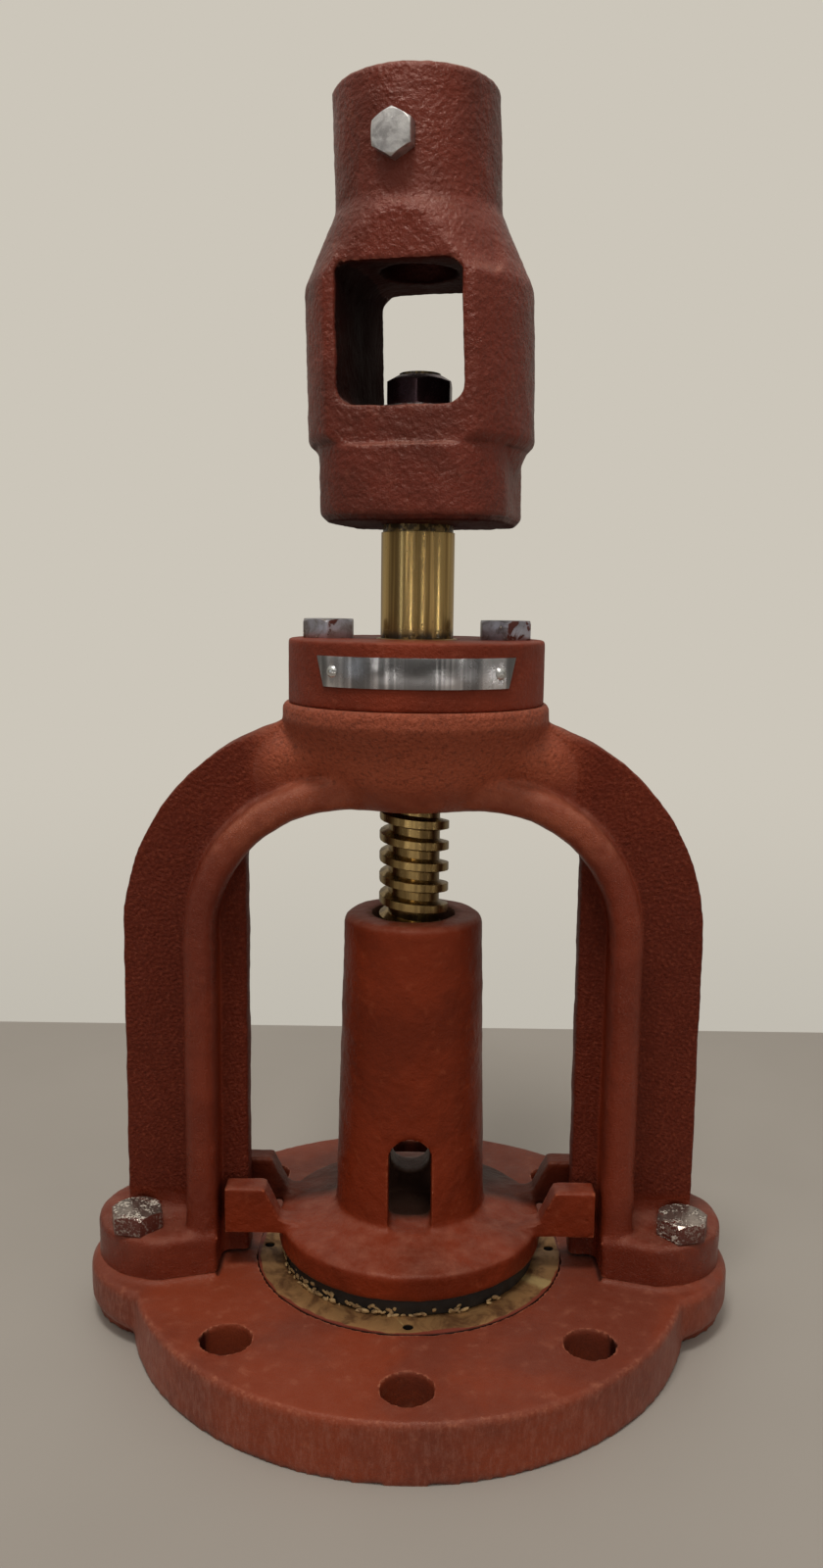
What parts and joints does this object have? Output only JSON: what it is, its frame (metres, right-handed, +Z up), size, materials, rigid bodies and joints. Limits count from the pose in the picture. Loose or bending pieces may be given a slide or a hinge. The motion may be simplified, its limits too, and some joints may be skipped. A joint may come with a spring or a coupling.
{
  "type": "mud valve",
  "caption": "Flanged mud valve: a bronze screw stem under an arched yoke lifts a rubber-faced plug off its seat ring, turned through a coupling socket on top.",
  "frame": {"origin": "centre of the base flange's underside, on the stem's axis", "axes": "+Z up along the stem; the plate on the cap faces -Y; the yoke's legs stand at -X and +X"},
  "size_m": [0.2664, 0.2286, 0.4797],
  "materials": {
    "casting": "brushed red oxide primer on rough sand castings",
    "bronze": "turned bronze, dull and streaked",
    "stainless": "polished stainless",
    "zinc_steel": "zinc plated, flecked with red primer",
    "dark_steel": "dark oiled steel",
    "rubber": "matt black rubber"
  },
  "bodies": {
    "frame": {"base_flange": "casting", "seat_ring": "bronze", "yoke": "casting", "stem_cap": "casting", "cap_bushing": "bronze", "nameplate": "stainless", "nameplate_rivet_left": "stainless", "nameplate_rivet_right": "stainless", "cap_bolt_left": "zinc_steel", "cap_bolt_right": "zinc_steel", "foot_bolt_front_left": "zinc_steel", "foot_bolt_front_right": "zinc_steel", "foot_bolt_back_left": "zinc_steel", "foot_bolt_back_right": "zinc_steel"},
    "stem": {"stem": "bronze", "coupling": "casting", "stem_end_washer": "zinc_steel", "stem_end_nut": "dark_steel", "coupling_set_bolt": "zinc_steel"},
    "plug": {"plug": "casting", "plug_seal": "rubber", "plug_nut": "bronze"}
  },
  "joints": [
    {"name": "stem_turn", "type": "hinge", "parent": "frame", "child": "stem", "pos_m": [0, 0, 0], "axis": [0, 0, 1], "range_deg": [0, 1440]},
    {"name": "plug_lift", "type": "slide", "parent": "frame", "child": "plug", "axis": [0, 0, 1], "range_m": [0, 0.034]}
  ],
  "couplings": [
    {"joint": "plug_lift", "follows": "stem_turn", "m_per_rad": 0.0013475}
  ]
}
